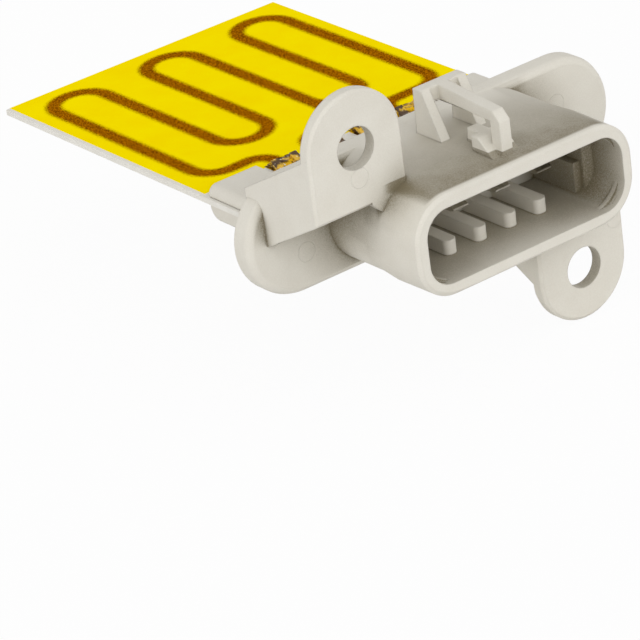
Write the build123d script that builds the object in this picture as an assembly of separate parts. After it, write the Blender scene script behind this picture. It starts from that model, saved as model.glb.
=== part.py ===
from build123d import *
import os

# Blower motor resistor: a moulded connector housing that holds a printed ceramic card.
# Millimetres. The origin is the centre of the connector's mouth. X runs across the mouth,
# Y runs back from the mouth along the card, and Z is up, square to the card's face.

# Connector shroud
mouth_width = 41.0
mouth_height = 15.8
mouth_corner = 6.5
mouth_inner_corner = 4.0
wall = 2.0
rim_bevel = 0.55
hood_end = 8.5            # back of the full-width front part
hood_height = 16.5
hood_corner = 6.8
neck_front = hood_end + 4.5
neck_width = 39.5
neck_height = 17.4
neck_corner = 7.4
neck_back_width = 40.4
neck_back_height = 17.8
neck_back_corner = 8.3

# Flange that seals the housing against the air duct
flange_front = 21.3
flange_thick = 3.8
flange_length = 69.6
flange_height = 18.8
flange_drop = 0.3         # how far the flange's middle lies below the connector's axis
flange_front_bevel = 0.95  # the front edge is rounded, as one wide bevel between two narrow ones
flange_front_corner = 0.35
flange_back_bevel = 0.4

# Two screw ears, one above the left end and one below the right end
left_ear_front = 8.2
right_ear_front = 8.9
ear_thick = 1.9
ear_radius = 8.4
ear_edge_bevel = 0.45
screw_hole_radius = 3.27
left_hole_x = -22.95
left_hole_z = 16.1
left_arc_rise = 0.3       # how far the left ear's round end is centred above its screw hole
left_plate_bottom = 6.55
right_hole_x = 16.4
right_hole_z = -18.3
right_plate_top = -8.2
web_thick = 1.75
web_overshoot = 0.15      # how far past the screw hole's centre each web starts
web_fall = 0.53           # drop of a web's outer edge for each mm that it runs back
left_web_bottom_fall = 0.51
left_corner_web = 1.6     # small corner webs where the plates meet the shroud
right_corner_web = 0.84
right_corner_web_x = 19.2

# Socket inside the shroud
mouth_depth = 7.5
socket_width = 34.0
socket_ceiling = 4.3
ceiling_step = mouth_depth + 2.0   # depth at which the roof of the socket drops
socket_back = 18.0
rail_width = 1.2
rail_top = -0.7
rail_front = mouth_depth + 0.8
rib_pitch = 5.75
rib_count = 4
rib_width = 2.2
rib_height = 2.35
rib_front = mouth_depth - 0.05
rib_round = 0.95          # the ribs' front ends are nearly half round
roof_rib_front = mouth_depth + 0.4
side_slope = 0.6          # how far the sloping ends of the side walls' steps run forward

# Two thin terraces across each corner of the mouth, just inside the rim
terrace_end_x = 14.4      # where the inner terrace's arc leaves the roof or the floor
terrace_end_z = 2.6       # where it leaves the side wall
terrace_radius = 6.0
low_left_terrace_radius = 8.7
terrace_fronts = [0.9, 1.5]
terrace_back = 2.3
terrace_step = 0.3

# Terminals and their T-shaped slots
terminal_count = 4
terminal_pitch = 8.05
blade_width = 2.8
blade_thick = 0.8
blade_tip = 10.5
blade_tip_taper = 0.8
slot_floor = -1.36
slot_step = -0.27
slot_top = 1.33
slot_width = 5.1
slot_neck_width = 2.45
shoulder_width = 4.8
shoulder_front = socket_back + 0.3
finger_width = 1.3        # the two fingers over the card lie at the shoulder's sides
finger_thick = 0.6
finger_clear = 0.45       # how high the fingers run over the card before they dip
finger_rise = 2.2         # length of the slope up from the shoulder
finger_inset = 0.1        # how far past the pad's near end the fingers touch it
finger_fall = 1.7         # length of the dip down to the pad
finger_flat = 0.6
finger_tip = 1.5
finger_end_height = 0.9
under_finger_width = 1.6
under_finger_short = 0.3  # how far the finger under the card ends before the others touch

# Latch on top of the shroud
latch_back = 18.6
latch_half_width = 4.27
latch_cheek = 1.65
latch_top = 15.95
latch_cheek_foot = 12.06
latch_bar_depth = 1.95
latch_bar_bottom = 13.6
latch_tongue_half_width = 1.02
latch_tongue_front_top = 14.8
latch_tongue_under = 13.1
latch_tongue_chamfer = 1.4
latch_leg_front = 3.1
latch_leg_thick = 2.2
ramp_half_width = 2.5
ramp_back = 8.2
ramp_top = 10.6
ramp_crest = 6.7
ramp_foot = 3.4
ramp_rib_back = 10.9      # back of the narrow rib behind the ramp
latch_root = 7.0          # level inside the shroud's roof from which the latch grows

# Holder behind the flange, and the card that it grips
holder_half_width = 26.3
holder_end = 42.3
holder_top = 1.8
holder_bottom = -3.35
holder_bottom_round = 2.0
holder_top_round = 1.4
holder_bridge = 2.9       # length of the solid bridge behind the flange
jaw_inner_half_width = 17.2
jaw_reach = 11.1          # how deep the card sits in the jaws
card_half_width = 26.85
card_thick = 0.9
card_far = 96.3
card_gap = 0.3            # room between the card's near edge and the end of its slot
card_play = 0.1           # room above the card inside the jaws

# Printed layers and joints on the card
film_thick = 0.06
glaze_thick = 0.05
glaze_margin = 0.75       # bare strip along the card's left side only
glaze_overlap = 0.4       # how far the coat runs over the pads' ends
track_width = 2.6
third_lead_width = 2.0
pad_width = 5.0
pad_length = 4.0
pad_cover = 2.1           # how far the pads reach back under the jaws' end
solder_width = 4.6
solder_near_margin = 0.8  # bare pad before and behind the solder
solder_far_margin = 0.2
solder_height = 0.8
solder_slope = 0.5

# Centre lines of the printed runs and leads
run_count = 6
run_pitch = 9.13
run_middle = 0.5          # the printed pattern lies this far right of the card's middle
far_loop_margin = 3.8     # from the far loops' centre line to the card's end
near_loop_gap = 6.2       # from the leads that run across to the near loops
cross_lead_gap = 3.7      # from the pads to the leads that run across
third_lead_inset = 1.0
third_lead_reach = 1.575  # how far the third lead runs out beside its pad
lead_shifts = [0.1, -1.0, 0.0, -1.0]
lead_bend = 3.0
run_bend = 4.3
third_lead_bend = 1.3
loop_roundness = 0.98     # corner radius of a loop, as a share of half the run pitch

flange_back = flange_front + flange_thick
left_ear_back = left_ear_front + ear_thick
right_ear_back = right_ear_front + ear_thick
mouth_half_width = mouth_width / 2 - wall
mouth_half_height = mouth_height / 2 - wall
socket_floor = -mouth_half_height
terminal_places = [(i - (terminal_count - 1) / 2) * terminal_pitch for i in range(terminal_count)]
rib_places = [(i - (rib_count - 1) / 2) * rib_pitch for i in range(rib_count)]
run_places = [run_middle + (i - (run_count - 1) / 2) * run_pitch for i in range(run_count)]
lead_places = [x + shift for x, shift in zip(terminal_places, lead_shifts)]
holder_bridge_end = flange_back + holder_bridge
card_slot_start = holder_end - jaw_reach
card_near = card_slot_start + card_gap
pad_near = holder_end - pad_cover
pad_far = pad_near + pad_length
finger_touch = pad_near + finger_inset
finger_lift = finger_touch + finger_flat
solder_near = pad_near + solder_near_margin
solder_far = pad_far - solder_far_margin
glaze_near = pad_far - glaze_overlap
cross_lead = pad_far + cross_lead_gap
near_loop_end = cross_lead + near_loop_gap
far_loop_end = card_far - far_loop_margin
third_lead = pad_far - third_lead_inset


def across(sketch, front, back):
    """A sketch drawn in X and Z, carried from depth front to depth back."""
    plane = Plane(origin=(0, front, 0), x_dir=(1, 0, 0), z_dir=(0, -1, 0))
    return extrude(plane * sketch, amount=front - back)


def section(width, height, corner, depth):
    """One rounded cross-section of the shroud."""
    plane = Plane(origin=(0, depth, 0), x_dir=(1, 0, 0), z_dir=(0, -1, 0))
    return plane * RectangleRounded(width, height, corner)


def upright(points, low, high):
    """A profile drawn in Y and Z, carried from x low to x high."""
    face = make_face(Polyline(*points, close=True))
    return extrude(Plane.YZ.offset(low) * face, amount=high - low)


def block(x, y, z):
    """A box between pairs of limits."""
    size = Box(x[1] - x[0], y[1] - y[0], z[1] - z[0])
    return Pos((x[0] + x[1]) / 2, (y[0] + y[1]) / 2, (z[0] + z[1]) / 2) * size


def edges_at(solid, axis, value):
    """The edges that lie in one plane across an axis."""
    return solid.edges().filter_by_position(axis, value - 0.01, value + 0.01)


def make_shroud():
    """The hood and neck of the connector, solid, with its front edge bevelled."""
    sections = [
        section(mouth_width, mouth_height, mouth_corner, 0),
        section(mouth_width, hood_height, hood_corner, hood_end),
        section(neck_width, neck_height, neck_corner, neck_front),
        section(neck_back_width, neck_back_height, neck_back_corner, flange_front + flange_thick / 2),
    ]
    shroud = loft(sections, ruled=True)
    return chamfer(edges_at(shroud, Axis.Y, 0), rim_bevel)


def make_flange():
    """The round-ended plate behind the neck."""
    outline = Pos(0, -flange_drop) * SlotOverall(flange_length, flange_height)
    plate = across(outline, flange_front, flange_back)
    plate = chamfer(edges_at(plate, Axis.Y, flange_front), flange_front_bevel)
    bevel_back = flange_front + flange_front_bevel
    corners = edges_at(plate, Axis.Y, flange_front) + edges_at(plate, Axis.Y, bevel_back)
    plate = chamfer(corners, flange_front_corner)
    return chamfer(edges_at(plate, Axis.Y, flange_back), flange_back_bevel)


def make_ear(front, hole_x, hole_z, arc_rise, straight_end):
    """A screw ear: a round-ended plate with its screw hole."""
    arc_z = hole_z + arc_rise
    outline = Pos(hole_x, arc_z) * Circle(ear_radius)
    outline += Pos(hole_x, (arc_z + straight_end) / 2) * Rectangle(2 * ear_radius, abs(arc_z - straight_end))
    plate = across(outline, front, front + ear_thick)
    plate = chamfer(edges_at(plate, Axis.Y, front), ear_edge_bevel)
    return plate - across(Pos(hole_x, hole_z) * Circle(screw_hole_radius), front, front + ear_thick)


def make_left_web():
    """The sloping side wall that ties the left ear back to the flange."""
    low = left_hole_x - ear_radius
    start = left_ear_front + ear_edge_bevel
    top = left_hole_z + web_overshoot
    run = flange_back - left_ear_back
    floor_run = flange_front - left_ear_front
    points = [
        (start, left_plate_bottom),
        (start, top + web_fall * (left_ear_back - start)),
        (flange_back, top - web_fall * run),
        (flange_back, left_plate_bottom - left_web_bottom_fall * floor_run),
        (flange_front, left_plate_bottom - left_web_bottom_fall * floor_run),
    ]
    return upright(points, low, low + web_thick)


def make_right_web():
    """The sloping side wall that ties the right ear back to the flange."""
    low = right_hole_x - ear_radius
    start = right_ear_front + ear_edge_bevel
    bottom = right_hole_z - web_overshoot
    run = flange_back - right_ear_back
    root = wall / 2 - mouth_height / 2
    points = [
        (start, root),
        (start, bottom - web_fall * (right_ear_back - start)),
        (flange_back, bottom + web_fall * run),
        (flange_back, root),
    ]
    return upright(points, low, low + web_thick)


def make_ear_roots():
    """The parts of both ears that grow out of the shroud, between its corners."""
    corner_x = -mouth_width / 2
    left = make_face(Polyline(
        (corner_x - left_corner_web / 2, left_plate_bottom),
        (corner_x + left_corner_web / 2, left_plate_bottom - left_corner_web),
        (corner_x + mouth_corner, left_plate_bottom - left_corner_web),
        (corner_x + mouth_corner, left_plate_bottom + left_corner_web),
        (corner_x - left_corner_web / 2, left_plate_bottom + left_corner_web),
        close=True))
    low = right_hole_x - ear_radius
    high = mouth_width / 2 - mouth_corner
    depth = hood_height / 2 - wall / 2
    right = Rectangle(high - low, abs(right_plate_top) - depth)
    right = Pos((low + high) / 2, (right_plate_top - depth) / 2) * right
    web = make_face(Polyline(
        (right_corner_web_x, right_plate_top),
        (right_corner_web_x - right_corner_web, right_plate_top + right_corner_web),
        (right_corner_web_x - mouth_corner / 2, right_plate_top + right_corner_web),
        (right_corner_web_x - mouth_corner / 2, right_plate_top),
        close=True))
    return across(left, left_ear_front, left_ear_back) + across(right + web, right_ear_front, right_ear_back)


def make_latch():
    """The latch that the plug's hook snaps over: two cheeks, a bar, a tongue, a ramp and its rib."""
    bar_front = latch_back - latch_bar_depth
    cheek = [
        (latch_cheek_foot, latch_root),
        (bar_front, latch_top),
        (latch_back, latch_top),
        (latch_back, latch_root),
    ]
    inner = latch_half_width - latch_cheek
    bar_sides = (-latch_half_width, latch_half_width)
    latch = upright(cheek, -latch_half_width, -inner) + upright(cheek, inner, latch_half_width)
    latch += block(bar_sides, (bar_front, latch_back), (latch_bar_bottom, latch_top))
    tongue = [
        (latch_back, latch_top),
        (bar_front, latch_top),
        (latch_leg_front + latch_tongue_chamfer, latch_tongue_front_top),
        (latch_leg_front, latch_tongue_front_top - latch_tongue_chamfer),
        (latch_leg_front, latch_root),
        (latch_leg_front + latch_leg_thick, latch_root),
        (latch_leg_front + latch_leg_thick, latch_tongue_under),
        (latch_back, latch_bar_bottom),
    ]
    latch += upright(tongue, -latch_tongue_half_width, latch_tongue_half_width)
    ramp = [
        (ramp_back, latch_root),
        (ramp_back, ramp_top),
        (ramp_crest, ramp_top),
        (ramp_foot, mouth_height / 2),
        (ramp_foot, latch_root),
    ]
    latch += upright(ramp, -ramp_half_width, ramp_half_width)
    rib_sides = (-latch_tongue_half_width, latch_tongue_half_width)
    return latch + block(rib_sides, (ramp_crest, ramp_rib_back), (latch_root, ramp_top))


def make_holder():
    """The bridge behind the flange and the two pairs of jaws that grip the card."""
    holder = block(
        (-holder_half_width, holder_half_width), (flange_back, holder_end), (holder_bottom, holder_top))
    low_back = edges_at(holder, Axis.Z, holder_bottom).filter_by(Axis.X).sort_by(Axis.Y)[-1]
    holder = fillet(low_back, holder_bottom_round)
    top_edges = edges_at(holder, Axis.Z, holder_top).filter_by(Axis.Y)
    holder = fillet(top_edges, holder_top_round)
    holder -= block(
        (-holder_half_width - 1, holder_half_width + 1), (card_slot_start, holder_end + 1),
        (-card_thick, card_play))
    return holder - block(
        (-jaw_inner_half_width, jaw_inner_half_width), (holder_bridge_end, holder_end + 1),
        (holder_bottom - 1, holder_top + 1))


def make_terraces():
    """The thin terraces that cut across the corners of the mouth."""
    terraces = None
    chord = Vector(mouth_half_width - terrace_end_x, 0, terrace_end_z - mouth_half_height)
    inward = Vector(chord.Z, 0, -chord.X).normalized()
    middle = Vector(terrace_end_x, 0, mouth_half_height) + chord / 2
    for side_x in (-1, 1):
        for side_z in (-1, 1):
            radius = low_left_terrace_radius if side_x + side_z == -2 else terrace_radius
            centre = middle + inward * (radius ** 2 - (chord.length / 2) ** 2) ** 0.5
            corner = Pos(side_x * mouth_half_width, side_z * mouth_half_height) * Rectangle(
                2 * (mouth_half_width - terrace_end_x), 2 * (mouth_half_height - terrace_end_z))
            for number, front in enumerate(reversed(terrace_fronts)):
                arc = Pos(side_x * centre.X, side_z * centre.Z) * Circle(radius + number * terrace_step)
                terrace = across(corner - arc, front, terrace_back)
                terraces = terrace if terraces is None else terraces + terrace
    return terraces


def make_socket():
    """Everything hollow inside the shroud, with the terraces, rails and ribs left standing."""
    outline = RectangleRounded(2 * mouth_half_width, 2 * mouth_half_height, mouth_inner_corner)
    mouth = across(outline, 0, mouth_depth) - make_terraces()
    half = socket_width / 2
    deep = block((-half, half), (mouth_depth, socket_back), (socket_floor, socket_ceiling))
    deep &= across(outline, mouth_depth, socket_back)
    step = block((-half, half), (mouth_depth, ceiling_step), (socket_ceiling, mouth_half_height))
    step &= across(outline, mouth_depth, ceiling_step)
    for side in (-1, 1):
        rail = sorted((side * half, side * (half - rail_width)))
        deep -= block(rail, (rail_front, socket_back), (socket_floor, rail_top))
        slope = make_face(Polyline(
            (side * half, mouth_depth), (side * mouth_half_width, mouth_depth),
            (side * mouth_half_width, mouth_depth - side_slope), close=True))
        mouth -= extrude(Pos(0, 0, -mouth_half_height) * slope, amount=2 * mouth_half_height, dir=(0, 0, 1))
    hollow = mouth + deep + step
    for x in rib_places:
        sides = (x - rib_width / 2, x + rib_width / 2)
        rib = block(sides, (rib_front, socket_back), (socket_floor - wall / 2, socket_floor + rib_height))
        front = rib.edges().filter_by(Axis.Z).sort_by(Axis.Y)[:2]
        hollow -= fillet(front, rib_round)
        hollow -= block(sides, (roof_rib_front, ceiling_step), (socket_ceiling, mouth_half_height))
    return hollow


def make_slots():
    """The T-shaped slots through the back wall, the flange and the bridge."""
    slots = None
    for x in terminal_places:
        low = block(
            (x - slot_width / 2, x + slot_width / 2),
            (socket_back, holder_bridge_end), (slot_floor, slot_step))
        high = block(
            (x - slot_neck_width / 2, x + slot_neck_width / 2),
            (socket_back, holder_bridge_end), (slot_step, slot_top))
        slots = low + high if slots is None else slots + low + high
    return slots


def make_housing():
    """The moulded housing, one piece."""
    housing = make_shroud() + make_flange()
    housing += make_ear(left_ear_front, left_hole_x, left_hole_z, left_arc_rise, left_plate_bottom)
    housing += make_ear(right_ear_front, right_hole_x, right_hole_z, 0, right_plate_top)
    housing += make_left_web() + make_right_web() + make_ear_roots()
    housing += make_latch()
    housing += make_holder()
    housing -= make_socket()
    return housing - make_slots()


def strip(low_line, thick, low, high):
    """Bent sheet metal: a line of its underside in Y and Z, its thickness, and its sides."""
    top_line = [(y, z + thick) for y, z in reversed(low_line)]
    return upright([*low_line, *top_line], low, high)


def make_terminal(x):
    """One stamped terminal: a blade in the socket, a wide shoulder, and fingers that grip the card."""
    blade_top = slot_floor + blade_thick
    half = blade_width / 2
    bevel = blade_thick / 3
    side = [
        (blade_tip, slot_floor + bevel),
        (blade_tip + blade_tip_taper, slot_floor),
        (shoulder_front + 1, slot_floor),
        (shoulder_front + 1, blade_top),
        (blade_tip + blade_tip_taper, blade_top),
        (blade_tip, blade_top - bevel),
    ]
    terminal = upright(side, x - half, x + half)
    edge = shoulder_width / 2
    terminal += block((x - edge, x + edge), (shoulder_front, holder_bridge_end), (slot_floor, blade_top))
    over_card = [
        (holder_bridge_end - 1, slot_floor),
        (holder_bridge_end, slot_floor),
        (holder_bridge_end + finger_rise, finger_clear),
        (finger_touch - finger_fall, finger_clear),
        (finger_touch, film_thick),
        (finger_lift, film_thick),
        (finger_lift + finger_tip, finger_end_height),
    ]
    terminal += strip(over_card, finger_thick, x - edge, x - edge + finger_width)
    terminal += strip(over_card, finger_thick, x + edge - finger_width, x + edge)
    under_card = [
        (holder_bridge_end - 1, slot_floor),
        (holder_bridge_end, slot_floor),
        (holder_bridge_end + finger_rise, -card_thick - finger_thick),
        (finger_touch - under_finger_short, -card_thick - finger_thick),
    ]
    return terminal + strip(under_card, finger_thick, x - under_finger_width / 2, x + under_finger_width / 2)


def make_card():
    """The bare ceramic card."""
    return block((-card_half_width, card_half_width), (card_near, card_far), (-card_thick, 0))


def make_pad(x):
    """The printed contact pad under one terminal's fingers."""
    return block((x - pad_width / 2, x + pad_width / 2), (pad_near, pad_far), (0, film_thick))


def make_solder(x, terminal):
    """A low mound of solder round the ends of one terminal's fingers."""
    mound = block(
        (x - solder_width / 2, x + solder_width / 2), (solder_near, solder_far),
        (film_thick, film_thick + solder_height))
    mound = chamfer(edges_at(mound, Axis.Z, film_thick + solder_height), solder_slope)
    return mound - terminal


def ribbon(points, radii, width):
    """A printed line along a path given by its corners and their radii."""
    return extrude(trace(FilletPolyline(*points, radius=radii), width), amount=film_thick)


def make_tracks():
    """The resistor print in its three stretches, and the leads of the two middle terminals."""
    run_1, run_2, run_3, run_4, run_5, run_6 = run_places
    first, second, third, last = lead_places
    far, near = far_loop_end, near_loop_end
    bend = run_pitch / 2 * loop_roundness
    tap_y = near + run_pitch / 2
    tap_x = (run_4 + run_5) / 2
    tracks = {}
    tracks["track_low"] = ribbon(
        [(first, pad_far), (first, cross_lead), (run_1, cross_lead), (run_1, far), (run_2, far),
         (run_2, near), (run_3, near), (run_3, far), (run_4, far), (run_4, tap_y)],
        [lead_bend, run_bend] + 6 * [bend], track_width)
    tracks["track_middle"] = ribbon([(run_4, tap_y), (run_4, near), (tap_x, near)], [bend], track_width)
    tracks["track_high"] = ribbon(
        [(tap_x, near), (run_5, near), (run_5, far), (run_6, far),
         (run_6, cross_lead), (last, cross_lead), (last, pad_far)],
        3 * [bend] + [run_bend, lead_bend], track_width)
    printed = tracks["track_low"] + tracks["track_middle"] + tracks["track_high"]
    second_path = [(second, pad_far), (second, cross_lead), (run_4, cross_lead), (run_4, tap_y)]
    tracks["lead_second"] = ribbon(second_path, [lead_bend, lead_bend], track_width) - printed
    third_edge = third + pad_width / 2
    third_x = third_edge + third_lead_reach
    third_path = [(third_edge, third_lead), (third_x, third_lead), (third_x, near)]
    tracks["lead_third"] = ribbon(third_path, [third_lead_bend], third_lead_width) - printed
    return tracks


def make_glaze(printed):
    """The thin coat of glass over the card, left open where the print and the pads are."""
    sheet = block((glaze_margin - card_half_width, card_half_width), (glaze_near, card_far), (0, glaze_thick))
    for piece in printed:
        sheet -= piece
    return sheet


if __name__ == "__main__":
    os.makedirs("parts", exist_ok=True)
    tracks = make_tracks()
    pads = [make_pad(x) for x in terminal_places]
    terminals = [make_terminal(x) for x in terminal_places]
    pieces = {"housing": make_housing(), "ceramic_card": make_card(), **tracks}
    pieces["glaze_coat"] = make_glaze([*tracks.values(), *pads])
    for number, x in enumerate(terminal_places, start=1):
        pieces[f"terminal_{number}"] = terminals[number - 1]
        pieces[f"contact_pad_{number}"] = pads[number - 1]
        pieces[f"solder_joint_{number}"] = make_solder(x, terminals[number - 1])
    for name, piece in pieces.items():
        export_step(piece, f"parts/{name}.step")
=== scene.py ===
import math

import bmesh
import bpy
from mathutils import Matrix, Vector, noise
from mathutils.bvhtree import BVHTree


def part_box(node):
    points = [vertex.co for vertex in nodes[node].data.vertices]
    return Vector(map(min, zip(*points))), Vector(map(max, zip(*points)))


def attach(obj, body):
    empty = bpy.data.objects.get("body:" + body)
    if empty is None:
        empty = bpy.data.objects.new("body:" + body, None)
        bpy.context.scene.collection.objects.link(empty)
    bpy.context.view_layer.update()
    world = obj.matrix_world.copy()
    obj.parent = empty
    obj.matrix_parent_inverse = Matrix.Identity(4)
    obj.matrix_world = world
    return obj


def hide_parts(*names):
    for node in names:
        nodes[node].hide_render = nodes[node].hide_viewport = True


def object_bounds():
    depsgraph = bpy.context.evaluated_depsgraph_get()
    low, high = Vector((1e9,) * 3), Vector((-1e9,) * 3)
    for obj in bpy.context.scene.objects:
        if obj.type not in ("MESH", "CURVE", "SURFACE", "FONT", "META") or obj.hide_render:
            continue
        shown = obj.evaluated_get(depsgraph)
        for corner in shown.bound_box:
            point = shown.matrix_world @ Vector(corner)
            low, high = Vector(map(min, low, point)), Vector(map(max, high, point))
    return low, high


mm = 0.001
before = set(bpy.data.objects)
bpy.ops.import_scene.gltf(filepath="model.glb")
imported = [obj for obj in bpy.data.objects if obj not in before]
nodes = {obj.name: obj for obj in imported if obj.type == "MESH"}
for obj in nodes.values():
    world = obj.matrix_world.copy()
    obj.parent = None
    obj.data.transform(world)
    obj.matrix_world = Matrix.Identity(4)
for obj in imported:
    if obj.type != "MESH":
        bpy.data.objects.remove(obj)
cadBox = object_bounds()
print("frame loaded,", len(nodes), "nodes")


def paint(red, green, blue):
    # an sRGB colour, 0 to 255, as the linear one that a socket takes
    channels = [c / 255 for c in (red, green, blue)]
    return [c / 12.92 if c <= 0.04045 else ((c + 0.055) / 1.055) ** 2.4 for c in channels] + [1.0]


def put(tree, kind, settings=None, inputs=None):
    # one node, with its settings, and its sockets set or linked
    node = tree.nodes.new(kind)
    for name, value in (settings or {}).items():
        setattr(node, name, value)
    for name, value in (inputs or {}).items():
        if isinstance(value, bpy.types.NodeSocket):
            tree.links.new(value, node.inputs[name])
        else:
            node.inputs[name].default_value = value
    return node


def feed(tree, socketOut, socketIn):
    tree.links.new(socketOut, socketIn)


def newMaterial(name):
    material = bpy.data.materials.new(name)
    material.use_nodes = True
    return material, material.node_tree, material.node_tree.nodes["Principled BSDF"]


def newGroup(name, inputs, outputs):
    # an empty node group with named sockets, and the sockets that its own nodes read and feed
    group = bpy.data.node_groups.new(name, "ShaderNodeTree")
    for label, kind, start in inputs:
        socket = group.interface.new_socket(label, in_out="INPUT", socket_type=kind)
        if start is not None:
            socket.default_value = start
    for label, kind in outputs:
        group.interface.new_socket(label, in_out="OUTPUT", socket_type=kind)
    return group, put(group, "NodeGroupInput").outputs, put(group, "NodeGroupOutput").inputs


def useGroup(tree, group, inputs):
    return put(tree, "ShaderNodeGroup", {"node_tree": group}, inputs).outputs


def combine(tree, operation, *values, clamp=False):
    # one Math node over values or sockets
    return put(tree, "ShaderNodeMath", {"operation": operation, "use_clamp": clamp},
               dict(enumerate(values))).outputs[0]


def fade(tree, value, start, end, low=0.0, high=1.0, curve="SMOOTHSTEP"):
    # a smooth step from low, at start, to high, at end
    ends = {"From Min": start, "From Max": end, "To Min": low, "To Max": high}
    return put(tree, "ShaderNodeMapRange", {"interpolation_type": curve}, {"Value": value, **ends}).outputs[0]


def ramp(tree, value, start, end, low=0.0, high=1.0):
    # the same with a straight rise
    return fade(tree, value, start, end, low, high, "LINEAR")


def blendColour(tree, share, first, second, kind="MIX"):
    return put(tree, "ShaderNodeMix", {"data_type": "RGBA", "blend_type": kind},
               {0: share, 6: first, 7: second}).outputs[2]


def surfacePoint(tree):
    # the point of the surface, in the object's own frame
    return put(tree, "ShaderNodeTexCoord").outputs["Object"]


def surfaceAxes(tree):
    return put(tree, "ShaderNodeSeparateXYZ", None, {0: surfacePoint(tree)}).outputs


def noiseOf(tree, size, detail, roughness):
    # noise whose size is given in mm
    scale = combine(tree, "DIVIDE", 1 / mm, size)
    values = {"Vector": surfacePoint(tree), "Scale": scale, "Detail": detail, "Roughness": roughness}
    return put(tree, "ShaderNodeTexNoise", None, values).outputs["Fac"]


def makeGrainGroup():
    # moulded or fired surface: cloudy tone, fine speckle and a grainy bump
    group, into, out = newGroup(
        "surfaceGrain",
        [("Cloud size", "NodeSocketFloat", 6.0), ("Speck size", "NodeSocketFloat", 0.3),
         ("Cloud share", "NodeSocketFloat", 0.5), ("Bump depth", "NodeSocketFloat", 0.01)],
        [("Tone", "NodeSocketFloat"), ("Speck", "NodeSocketFloat"), ("Normal", "NodeSocketVector")])
    cloud = noiseOf(group, into["Cloud size"], 3.0, 0.6)
    speck = noiseOf(group, into["Speck size"], 2.0, 0.7)
    tone = put(group, "ShaderNodeMix", {"data_type": "FLOAT"}, {0: into["Cloud share"], 2: speck, 3: cloud})
    depth = combine(group, "MULTIPLY", into["Bump depth"], mm)
    bump = put(group, "ShaderNodeBump", None, {"Strength": 1.0, "Distance": depth, "Height": speck})
    feed(group, tone.outputs[0], out["Tone"])
    feed(group, speck, out["Speck"])
    feed(group, bump.outputs[0], out["Normal"])
    return group


def makeRecessShadeGroup():
    # painted shade: where the surface lies in a recess, as a grainy mask that darkens its colour
    group, into, out = newGroup(
        "paintedRecessShade",
        [("Reach", "NodeSocketFloat", 0.007), ("Open", "NodeSocketFloat", 0.9),
         ("Closed", "NodeSocketFloat", 0.3), ("Grain", "NodeSocketFloat", 0.5),
         ("Graininess", "NodeSocketFloat", 0.5)],
        [("Mask", "NodeSocketFloat")])
    around = put(group, "ShaderNodeAmbientOcclusion", {"samples": 8, "only_local": True},
                 {"Distance": into["Reach"]}).outputs["AO"]
    mask = ramp(group, around, into["Open"], into["Closed"])
    centred = combine(group, "SUBTRACT", into["Grain"], 0.5)
    strong = combine(group, "MULTIPLY", centred, into["Graininess"])
    feed(group, combine(group, "MULTIPLY_ADD", strong, mask, mask, clamp=True), out["Mask"])
    return group


def makeMarkGroup():
    # the fine ring that a mould's ejector pin leaves round a centre
    group, into, out = newGroup(
        "ejectorMark",
        [("Centre", "NodeSocketVector", None), ("Radius", "NodeSocketFloat", 0.0015),
         ("Line", "NodeSocketFloat", 0.0001)],
        [("Height", "NodeSocketFloat")])
    distance = put(group, "ShaderNodeVectorMath", {"operation": "DISTANCE"},
                   {0: surfacePoint(group), 1: into["Centre"]}).outputs["Value"]
    fromRing = combine(group, "ABSOLUTE", combine(group, "SUBTRACT", distance, into["Radius"]))
    feed(group, fade(group, fromRing, into["Line"], 0.0), out["Height"])
    return group


def makePrintGroup():
    # how much of the dark print shows, from the distance in mm to the print's edge
    group, into, out = newGroup(
        "printEdge",
        [("Distance", "NodeSocketFloat", 0.0), ("Blur", "NodeSocketFloat", 0.3),
         ("Raggedness", "NodeSocketFloat", 0.2), ("Grain size", "NodeSocketFloat", 0.3)],
        [("Mask", "NodeSocketFloat"), ("Grain", "NodeSocketFloat")])
    grain = noiseOf(group, into["Grain size"], 2.0, 0.6)
    centred = combine(group, "SUBTRACT", grain, 0.5)
    ragged = combine(group, "MULTIPLY_ADD", centred, into["Raggedness"], into["Distance"])
    inner = combine(group, "MULTIPLY", into["Blur"], -1.0)
    feed(group, fade(group, ragged, into["Blur"], inner), out["Mask"])
    feed(group, grain, out["Grain"])
    return group


grainGroup = makeGrainGroup()
recessShadeGroup = makeRecessShadeGroup()
markGroup = makeMarkGroup()
printGroup = makePrintGroup()

toneLow = 0.35      # the part of the grain's tone over which two colours blend
toneHigh = 0.65

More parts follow.
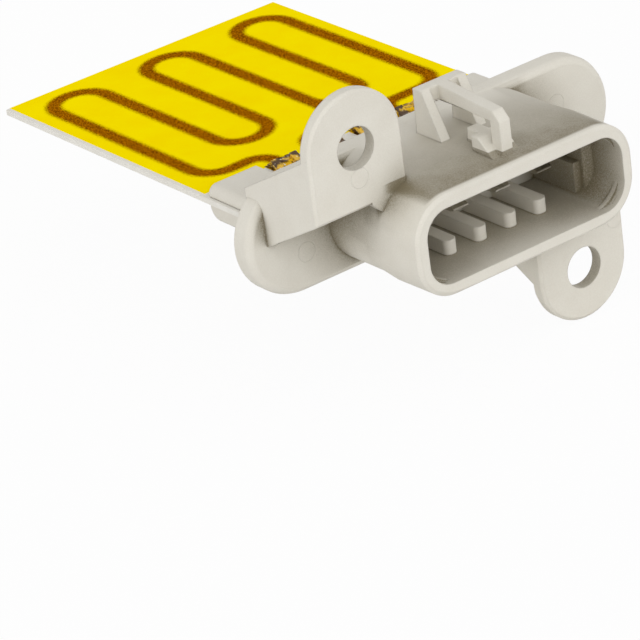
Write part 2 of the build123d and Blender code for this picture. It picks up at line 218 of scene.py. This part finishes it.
plasticSet = {
    "light": paint(227, 223, 212),
    "dark": paint(220, 215, 203),
    "grain": {"Cloud size": 5.0, "Speck size": 0.22, "Cloud share": 0.45, "Bump depth": 0.012},
    "roughness": 0.55,
    "gloss": 0.2,
    "flat": 0.6,                   # degrees: faces that differ by less are joined before the bevel
    "edge": 0.16 * mm,             # roundness of the moulding's edges
    "segments": 3,
    "room": 0.4 * mm,              # an edge beside a narrower face than this is left sharp
    "sharp": 32,                   # degrees: what turns by less is a round surface and not an edge
    "faceWeight": 80,
    "softness": 0.35 * mm,         # how far an edge's shading is softened beyond that
    "shadeTint": paint(142, 134, 114),  # the painted shade's colour, which darkens the recesses as a factor
    "graininess": 1.3,
    "deepReach": 14 * mm,
    "deepOpen": 0.85,
    "deepClosed": 0.45,
    "creaseReach": 0.6 * mm,
    "creaseShare": 0.22,
    "lessShadedHalfWidth": 12 * mm,     # the ribs get less painted shade than the socket's side walls and its floor
    "shadedHalfWidth": 16.8 * mm,
    "lessShadedShare": 0.0,
    "floorShare": 0.7,
    "floorLevel": -5.85 * mm,
    "floorFade": 0.1 * mm,
    "roofShadeStart": 0.75 * mm,        # the painted shade on the shroud's roof fades towards the back
    "roofShadeFront": 1.5 * mm,
    "roofShadeBack": 26 * mm,
    "roofShadeShare": 0.85,
    "roofShadeHalfWidth": 19.5 * mm,
    "roofShadeSide": 2 * mm,
    "roofShadeLow": 6.8 * mm,
    "roofShadeRise": 1 * mm,
    "roofShadeHigh": 8.75 * mm,
    "roofShadeFade": 0.15 * mm,
    "roofShadeCloud": 1.4,
    "roofShadeBase": 0.3,
    "markLine": 0.13 * mm,
    "markDepth": 0.05 * mm,
    "marks": [((-22.87, 8.2, 11.4), 1.55), ((23.1, 8.9, -12.7), 1.55), ((24.2, 21.3, 2.3), 1.55),
              ((-24.6, 21.3, -3.4), 1.55), ((-13.1, 18.0, 3.85), 0.9), ((0.0, 18.0, 3.85), 0.9),
              ((13.1, 18.0, 3.85), 0.9)],
}


def recessPaintedShade(tree, place, fromMiddle, speck):
    # painted shade deep in the socket, on its sides and its floor, and in every crease
    shares = {"Grain": speck, "Graininess": plasticSet["graininess"]}
    deep = useGroup(tree, recessShadeGroup, {"Reach": plasticSet["deepReach"], "Open": plasticSet["deepOpen"],
                                       "Closed": plasticSet["deepClosed"], **shares})["Mask"]
    crease = useGroup(tree, recessShadeGroup, {"Reach": plasticSet["creaseReach"], **shares})["Mask"]
    sideShare = fade(tree, fromMiddle, plasticSet["lessShadedHalfWidth"], plasticSet["shadedHalfWidth"],
                     plasticSet["lessShadedShare"], 1.0)
    floorShare = fade(tree, place["Z"], plasticSet["floorLevel"] + plasticSet["floorFade"],
                      plasticSet["floorLevel"], 0.0, plasticSet["floorShare"])
    deep = combine(tree, "MULTIPLY", deep, combine(tree, "MAXIMUM", sideShare, floorShare))
    return combine(tree, "ADD", deep, combine(tree, "MULTIPLY", crease, plasticSet["creaseShare"]))


def roofPaintedShade(tree, place, fromMiddle, tone):
    # painted shade on the shroud's roof, faded out towards its back, its sides and the rim
    roofShade = ramp(tree, place["Y"], plasticSet["roofShadeBack"], plasticSet["roofShadeFront"], 0.0,
                plasticSet["roofShadeShare"])
    low = plasticSet["roofShadeLow"]
    high = plasticSet["roofShadeHigh"]
    side = plasticSet["roofShadeHalfWidth"]
    for value, start, end in ((place["Z"], low, low + plasticSet["roofShadeRise"]),
                              (place["Z"], high + plasticSet["roofShadeFade"], high),
                              (place["Y"], plasticSet["roofShadeStart"], plasticSet["roofShadeFront"]),
                              (fromMiddle, side, side - plasticSet["roofShadeSide"])):
        roofShade = combine(tree, "MULTIPLY", roofShade, fade(tree, value, start, end))
    cloudy = combine(tree, "MULTIPLY_ADD", tone, plasticSet["roofShadeCloud"], plasticSet["roofShadeBase"])
    return combine(tree, "MULTIPLY", roofShade, cloudy)


def ejectorRings(tree):
    height = 0.0
    for centre, radius in plasticSet["marks"]:
        ring = useGroup(tree, markGroup, {"Centre": [c * mm for c in centre], "Radius": radius * mm,
                                          "Line": plasticSet["markLine"]})["Height"]
        height = combine(tree, "MAXIMUM", height, ring)
    return height


def makePlastic():
    material, tree, shader = newMaterial("mouldedPlastic")
    grain = useGroup(tree, grainGroup, plasticSet["grain"])
    colour = blendColour(tree, ramp(tree, grain["Tone"], toneLow, toneHigh), plasticSet["dark"],
                         plasticSet["light"])
    place = surfaceAxes(tree)
    fromMiddle = combine(tree, "ABSOLUTE", place["X"])
    # painted shade: the recesses, creases and roof are darkened in the base colour
    paintedShade = combine(tree, "ADD", recessPaintedShade(tree, place, fromMiddle, grain["Speck"]),
                   roofPaintedShade(tree, place, fromMiddle, grain["Tone"]), clamp=True)
    feed(tree, blendColour(tree, paintedShade, colour, plasticSet["shadeTint"], "MULTIPLY"), shader.inputs["Base Color"])
    marked = put(tree, "ShaderNodeBump", {"invert": True},
                 {"Strength": 1.0, "Distance": plasticSet["markDepth"], "Height": ejectorRings(tree),
                  "Normal": grain["Normal"]}).outputs[0]
    softened = put(tree, "ShaderNodeBevel", {"samples": 6},
                   {"Radius": plasticSet["softness"], "Normal": marked}).outputs[0]
    feed(tree, softened, shader.inputs["Normal"])
    shader.inputs["Roughness"].default_value = plasticSet["roughness"]
    shader.inputs["Specular IOR Level"].default_value = plasticSet["gloss"]
    return material


ceramicSet = {
    "light": paint(240, 237, 229),
    "dark": paint(226, 222, 212),
    "grain": {"Cloud size": 2.0, "Speck size": 0.12, "Cloud share": 0.4, "Bump depth": 0.01},
    "roughness": 0.6,
}


def makeCeramic():
    material, tree, shader = newMaterial("firedCeramic")
    grain = useGroup(tree, grainGroup, ceramicSet["grain"])
    colour = blendColour(tree, ramp(tree, grain["Tone"], toneLow, toneHigh), ceramicSet["dark"],
                         ceramicSet["light"])
    feed(tree, colour, shader.inputs["Base Color"])
    feed(tree, grain["Normal"], shader.inputs["Normal"])
    shader.inputs["Roughness"].default_value = ceramicSet["roughness"]
    return material


printSet = {
    "yellow": paint(255, 233, 0),
    "yellowDeep": paint(252, 222, 0),
    "brown": paint(184, 112, 0),
    "brownDark": paint(100, 54, 0),
    "grain": {"Cloud size": 8.0, "Speck size": 0.2, "Cloud share": 0.6, "Bump depth": 0.01},
    "edge": {"Blur": 0.6, "Raggedness": 1.0, "Grain size": 0.25},
    "coarseLow": 0.38,     # the span of the print's grain over which its two browns blend
    "coarseHigh": 0.6,
    "glazeRoughness": 0.42,
    "trackRoughness": 0.5,
    "gloss": 0.0,
    "paintedGlow": 0.08,          # painted light: the coat glows a little, so it is brighter than paint under the same light
    "cell": 0.4 * mm,      # the size of the cells that the coat and the lines are cut into
    "upright": 0.5,        # a face of a line whose normal rises by more than this is its top or foot
    "join": 0.02 * mm,     # a side nearer than this to another line is where the two join
}


def makePrinted(name, roughness):
    # the yellow coat and the brown print share one colour rule, so their edges melt into each other
    material, tree, shader = newMaterial(name)
    distance = put(tree, "ShaderNodeAttribute", {"attribute_name": "edgeDistance"}).outputs["Fac"]
    edge = useGroup(tree, printGroup, {"Distance": distance, **printSet["edge"]})
    grain = useGroup(tree, grainGroup, printSet["grain"])
    yellow = blendColour(tree, ramp(tree, grain["Tone"], toneLow, toneHigh), printSet["yellowDeep"],
                         printSet["yellow"])
    coarse = ramp(tree, edge["Grain"], printSet["coarseLow"], printSet["coarseHigh"])
    brown = blendColour(tree, coarse, printSet["brownDark"], printSet["brown"])
    colour = blendColour(tree, edge["Mask"], yellow, brown)
    feed(tree, colour, shader.inputs["Base Color"])
    # painted light: the coat and the print glow a little in their own colour
    feed(tree, colour, shader.inputs["Emission Color"])
    feed(tree, grain["Normal"], shader.inputs["Normal"])
    shader.inputs["Emission Strength"].default_value = printSet["paintedGlow"]
    shader.inputs["Roughness"].default_value = roughness
    shader.inputs["Specular IOR Level"].default_value = printSet["gloss"]
    return material


metalSet = {
    "tinPlate": {"light": paint(214, 211, 203), "dark": paint(176, 170, 156), "roughness": 0.3, "bump": 0.01,
                 "stained": 0.9},
    "firedPad": {"light": paint(190, 184, 170), "dark": paint(150, 140, 120), "roughness": 0.5, "bump": 0.01,
                 "stained": 1.0},
    "solder": {"light": paint(220, 205, 170), "dark": paint(120, 90, 40), "roughness": 0.35, "bump": 0.05,
               "stained": 1.0},
}

fluxSet = {
    "grain": {"Cloud size": 2.4, "Speck size": 0.5, "Cloud share": 0.85},
    "dark": paint(74, 44, 4),
    "gold": paint(240, 190, 2),
    "goldLow": 0.46,             # the span of the grain's tone over which the two blend
    "goldHigh": 0.56,
    # painted highlights: white glints put into the flux's colour
    "paintedGlint": paint(240, 236, 222),
    "paintedGlintLow": 0.62,
    "paintedGlintHigh": 0.7,
    "gloss": 0.15,
    "dulling": 0.9,              # how much of the metal's sheen the flux takes
    "stainStart": 36.5 * mm,     # the fingers are stained by flux from here to their ends
    "stainEnd": 39.5 * mm,
}


def makeMetal(name):
    # plated or soldered metal; flux leaves dark and golden patches where the solder was hot, with painted
    # highlights as white glints in its colour
    metal = metalSet[name]
    material, tree, shader = newMaterial(name)
    grain = useGroup(tree, grainGroup, {**fluxSet["grain"], "Bump depth": metal["bump"]})
    clean = blendColour(tree, fade(tree, grain["Tone"], toneLow, toneHigh), metal["dark"], metal["light"])
    golden = fade(tree, grain["Tone"], fluxSet["goldLow"], fluxSet["goldHigh"])
    # the white glints are painted highlights in the colour
    paintedGlints = fade(tree, grain["Speck"], fluxSet["paintedGlintLow"], fluxSet["paintedGlintHigh"])
    flux = blendColour(tree, golden, fluxSet["dark"], fluxSet["gold"])
    flux = blendColour(tree, paintedGlints, flux, fluxSet["paintedGlint"])
    reached = fade(tree, surfaceAxes(tree)["Y"], fluxSet["stainStart"], fluxSet["stainEnd"], 0.0,
                   metal["stained"])
    bare = combine(tree, "SUBTRACT", 1.0, combine(tree, "MULTIPLY", reached, fluxSet["dulling"]))
    feed(tree, blendColour(tree, reached, clean, flux), shader.inputs["Base Color"])
    feed(tree, bare, shader.inputs["Metallic"])
    feed(tree, grain["Normal"], shader.inputs["Normal"])
    shader.inputs["Specular IOR Level"].default_value = fluxSet["gloss"]
    shader.inputs["Roughness"].default_value = metal["roughness"]
    return material


plastic = makePlastic()
ceramic = makeCeramic()
glaze = makePrinted("glassCoat", printSet["glazeRoughness"])
resistorPrint = makePrinted("resistorPrint", printSet["trackRoughness"])
tin, padMetal, solderMetal = [makeMetal(name) for name in metalSet]
print("materials made")


def welded(name, nodeName, merge=0.0005):
    # a joined-up copy of a node's mesh, as a bmesh and the mesh that takes it
    mesh = nodes[nodeName].data.copy()
    mesh.name = name
    shape = bmesh.new()
    shape.from_mesh(mesh)
    bmesh.ops.remove_doubles(shape, verts=shape.verts, dist=merge * mm)
    return shape, mesh


def finishPiece(name, shape, mesh, material, replaced):
    shape.to_mesh(mesh)
    shape.free()
    if "custom_normal" in mesh.attributes:     # the node's own normals no longer fit the new faces
        mesh.attributes.remove(mesh.attributes["custom_normal"])
    piece = bpy.data.objects.new(name, mesh)
    bpy.context.scene.collection.objects.link(piece)
    mesh.materials.clear()
    mesh.materials.append(material)
    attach(piece, "root")
    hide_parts(*replaced)
    return piece


def turnsSharply(edge):
    return len(edge.link_faces) == 2 and edge.calc_face_angle(0) > math.radians(plasticSet["sharp"])


def hasRoom(edge):
    # whether every face and edge around both ends of an edge leaves room to round it
    faces = {face for vertex in edge.verts for face in vertex.link_faces}
    others = {other for vertex in edge.verts for other in vertex.link_edges}
    narrowest = min(2 * face.calc_area() / face.calc_perimeter() for face in faces)
    shortest = min(other.calc_length() for other in others)
    return narrowest > plasticSet["room"] and shortest > 2 * plasticSet["edge"]


def makeHousing():
    shape, mesh = welded("housingShell", "housing")
    bmesh.ops.dissolve_limit(shape, angle_limit=math.radians(plasticSet["flat"]), verts=shape.verts,
                             edges=shape.edges)
    shape.normal_update()
    knifeEdges = [e for e in shape.edges if turnsSharply(e) and hasRoom(e)]
    bmesh.ops.bevel(shape, geom=knifeEdges, offset=plasticSet["edge"], offset_type="OFFSET",
                    segments=plasticSet["segments"], profile=0.5, affect="EDGES", material=-1,
                    clamp_overlap=False)
    shape.normal_update()
    for edge in shape.edges:
        edge.smooth = not turnsSharply(edge)
    for face in shape.faces:
        face.smooth = True
    piece = finishPiece("housingShell", shape, mesh, plastic, ["housing"])
    weighted = piece.modifiers.new("weightedNormals", "WEIGHTED_NORMAL")
    weighted.weight = plasticSet["faceWeight"]
    weighted.keep_sharp = True


printPieces = {"track_low": "trackLow", "track_middle": "trackMiddle", "track_high": "trackHigh",
               "lead_second": "leadSecond", "lead_third": "leadThird"}


def treeOf(names):
    # the faces of some nodes as one search tree
    points, faces = [], []
    for name in names:
        start = len(points)
        points += [v.co.copy() for v in nodes[name].data.vertices]
        faces += [[start + i for i in p.vertices] for p in nodes[name].data.polygons]
    return BVHTree.FromPolygons(points, faces)


def printEdgeTree():
    # the upright sides of the printed lines, without the faces where two of them join
    trees = {name: treeOf([name]) for name in printPieces}
    points, faces = [], []
    for name in printPieces:
        mesh = nodes[name].data
        for face in mesh.polygons:
            if abs(face.normal.z) > printSet["upright"]:
                continue
            near = [trees[other].find_nearest(face.center)[3] for other in printPieces if other != name]
            if min(near) < printSet["join"]:
                continue
            start = len(points)
            points += [mesh.vertices[i].co.copy() for i in face.vertices]
            faces.append(list(range(start, len(points))))
    return BVHTree.FromPolygons(points, faces)


def markDistance(mesh, tree, tops=None):
    # the distance in mm to the print's edge, below zero inside the print, or under it where tops is given
    marks = mesh.attributes.new("edgeDistance", "FLOAT", "POINT")
    for i, vertex in enumerate(mesh.vertices):
        above = vertex.co + Vector((0, 0, mm))
        inside = tops is None or tops.ray_cast(above, Vector((0, 0, -1)), 2 * mm)[0] is not None
        marks.data[i].value = (-1 if inside else 1) * tree.find_nearest(vertex.co)[3] / mm


def makeGlaze(tree):
    low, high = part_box("glaze_coat")
    across = round((high.x - low.x) / printSet["cell"])
    along = round((high.y - low.y) / printSet["cell"])
    shape = bmesh.new()
    bmesh.ops.create_grid(shape, x_segments=across, y_segments=along, size=0.5)
    bmesh.ops.scale(shape, vec=(high.x - low.x, high.y - low.y, 1), verts=shape.verts)
    bmesh.ops.translate(shape, vec=((low.x + high.x) / 2, (low.y + high.y) / 2, high.z), verts=shape.verts)
    rim = [e for e in shape.edges if e.is_boundary]
    for part in bmesh.ops.extrude_edge_only(shape, edges=rim)["geom"]:
        if isinstance(part, bmesh.types.BMVert):
            part.co.z = low.z
    mesh = bpy.data.meshes.new("glassCoat")
    finishPiece("glassCoat", shape, mesh, glaze, ["glaze_coat"])
    markDistance(mesh, tree, treeOf(printPieces))


def makePrintedLine(name, pieceName, tree):
    # the line's node, cut into small cells so that the edge distance follows its bends
    shape, mesh = welded(pieceName, name)
    low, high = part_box(name)
    for axis, normal in ((0, (1, 0, 0)), (1, (0, 1, 0))):
        for i in range(1, int((high[axis] - low[axis]) / printSet["cell"]) + 1):
            place = [low[k] + (i * printSet["cell"] if k == axis else 0) for k in range(3)]
            bmesh.ops.bisect_plane(shape, geom=shape.verts[:] + shape.edges[:] + shape.faces[:], dist=1e-7,
                                   plane_co=place, plane_no=normal)
    finishPiece(pieceName, shape, mesh, resistorPrint, [name])
    markDistance(mesh, tree)


solderSet = {
    "flat": 1,                # degrees, as for the housing
    "cuts": 5,
    "footHeight": 0.01 * mm,  # what is lower than this stays on the pad
    "rounding": 2,
    "lump": 0.22 * mm,
    "lumpSize": 0.8 * mm,
}


def makeSolder(number):
    # the low mound of solder under and beside the fingers' raised ends, lumpy as it froze, flat on its pad
    name = f"solder_joint_{number}"
    shape, mesh = welded(f"solderBlob{number}", name)
    bmesh.ops.dissolve_limit(shape, angle_limit=math.radians(solderSet["flat"]), verts=shape.verts,
                             edges=shape.edges)
    bmesh.ops.subdivide_edges(shape, edges=shape.edges, cuts=solderSet["cuts"], use_grid_fill=True)
    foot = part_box(name)[0].z
    free = [v for v in shape.verts if v.co.z > foot + solderSet["footHeight"]]
    for _ in range(solderSet["rounding"]):
        bmesh.ops.smooth_vert(shape, verts=free, factor=0.5, use_axis_x=True, use_axis_y=True, use_axis_z=True)
    shape.normal_update()
    for v in free:
        v.co += v.normal * solderSet["lump"] * noise.noise(v.co / solderSet["lumpSize"])
    for face in shape.faces:
        face.smooth = True
    finishPiece(f"solderBlob{number}", shape, mesh, solderMetal, [name])


makeHousing()
edgeTree = printEdgeTree()
makeGlaze(edgeTree)
for nodeName, pieceName in printPieces.items():
    makePrintedLine(nodeName, pieceName, edgeTree)
plain = {"ceramic_card": ceramic}
for number in range(1, 5):
    plain[f"terminal_{number}"] = tin
    plain[f"contact_pad_{number}"] = padMetal
    makeSolder(number)
for nodeName, material in plain.items():
    nodes[nodeName].data.materials.clear()
    nodes[nodeName].data.materials.append(material)
print("pieces made")

studioSet = {
    "floorDrop": 0.2 * mm,
    "floorSize": 6.0,
    "floorColour": (0.85, 0.85, 0.85, 1),
    "floorRoughness": 0.9,
    "floorWhite": 0.95,
    "ambient": 0.54,                   # light from all round
    "tent": 0.9,                       # and the lit front of the tent, on top of it
    "tentSide": (0.0, -0.98, 0.15),
    "keyEnergy": 1.2,                  # the lamp stands at the left, where it can't shine into the socket
    "keySize": 0.5,
    "keyAzimuth": -88,
    "keyElevation": 14,
    "keyDistance": 0.8,
    "keyTarget": (0, 0.03, 0),
}


def outward(azimuth, elevation):
    # from the object towards a lamp or the camera, in degrees; 0, 0 is straight in front
    a, e = math.radians(azimuth), math.radians(elevation)
    return Vector((math.sin(a) * math.cos(e), -math.cos(a) * math.cos(e), math.sin(e)))


def makeFloor():
    shape = bmesh.new()
    bmesh.ops.create_grid(shape, x_segments=1, y_segments=1, size=studioSet["floorSize"] / 2)
    bmesh.ops.translate(shape, vec=(0, 0, cadBox[0].z - studioSet["floorDrop"]), verts=shape.verts)
    mesh = bpy.data.meshes.new("studioFloor")
    shape.to_mesh(mesh)
    shape.free()
    floor = bpy.data.objects.new("studioFloor", mesh)
    bpy.context.scene.collection.objects.link(floor)
    material, tree, shader = newMaterial("paleFloor")
    shader.inputs["Base Color"].default_value = studioSet["floorColour"]
    shader.inputs["Roughness"].default_value = studioSet["floorRoughness"]
    seen = combine(tree, "MULTIPLY", put(tree, "ShaderNodeLightPath").outputs["Is Camera Ray"],
                   studioSet["floorWhite"])
    paintedGlow = put(tree, "ShaderNodeEmission", None, {"Color": (1, 1, 1, 1), "Strength": 1.0})
    mix = put(tree, "ShaderNodeMixShader", None, {0: seen, 1: shader.outputs[0], 2: paintedGlow.outputs[0]})
    feed(tree, mix.outputs[0], tree.nodes["Material Output"].inputs["Surface"])
    mesh.materials.append(material)


def makeWorld():
    # white to the camera and in reflections; to the part, a tent that is lit at its front
    world = bpy.data.worlds.new("studio")
    world.use_nodes = True
    bpy.context.scene.world = world
    tree = world.node_tree
    rays = put(tree, "ShaderNodeLightPath").outputs
    seen = combine(tree, "MAXIMUM", rays["Is Camera Ray"], rays["Is Transmission Ray"])
    seen = combine(tree, "MAXIMUM", seen, rays["Is Glossy Ray"])
    facing = put(tree, "ShaderNodeVectorMath", {"operation": "DOT_PRODUCT"},
                 {0: put(tree, "ShaderNodeTexCoord").outputs["Generated"],
                  1: Vector(studioSet["tentSide"]).normalized()}).outputs["Value"]
    tent = ramp(tree, facing, 0.0, 1.0, studioSet["ambient"], studioSet["ambient"] + studioSet["tent"])
    background = tree.nodes["Background"]
    background.inputs["Color"].default_value = (1, 1, 1, 1)
    feed(tree, ramp(tree, seen, 0.0, 1.0, tent, 1.0), background.inputs["Strength"])


def makeKeyLamp():
    back = outward(studioSet["keyAzimuth"], studioSet["keyElevation"])
    lamp = bpy.data.lights.new("keyLamp", "AREA")
    lamp.energy = studioSet["keyEnergy"]
    lamp.size = studioSet["keySize"]
    holder = bpy.data.objects.new("keyLamp", lamp)
    holder.location = Vector(studioSet["keyTarget"]) + back * studioSet["keyDistance"]
    holder.rotation_euler = (-back).to_track_quat("-Z", "Y").to_euler()
    bpy.context.scene.collection.objects.link(holder)


cameraSet = {
    "lens": 223.18,
    "sensor": 36,
    "nearest": 0.01,
    "farthest": 20,
    "target": (-31.759, 10.0, -8.106),     # in mm
    "distance": 566.863,
    "azimuth": -34.486,
    "elevation": 26.106,
    "roll": -7.812,
}


def makeCamera():
    azimuth, roll = math.radians(cameraSet["azimuth"]), math.radians(cameraSet["roll"])
    back = outward(cameraSet["azimuth"], cameraSet["elevation"])
    right = Vector((math.cos(azimuth), math.sin(azimuth), 0))
    up = back.cross(right)
    tilted = right * math.cos(roll) + up * math.sin(roll)
    upright = up * math.cos(roll) - right * math.sin(roll)
    turn = Matrix((tilted, upright, back)).transposed().to_4x4()
    lens = bpy.data.cameras.new("photoCamera")
    lens.lens = cameraSet["lens"]
    lens.sensor_width = cameraSet["sensor"]
    lens.clip_start = cameraSet["nearest"]
    lens.clip_end = cameraSet["farthest"]
    camera = bpy.data.objects.new("photoCamera", lens)
    place = Vector(cameraSet["target"]) * mm + back * cameraSet["distance"] * mm
    camera.matrix_world = Matrix.Translation(place) @ turn
    bpy.context.scene.collection.objects.link(camera)
    bpy.context.scene.camera = camera


makeFloor()
makeWorld()
makeKeyLamp()
makeCamera()
bpy.context.scene.view_settings.view_transform = "Standard"
print("studio made")
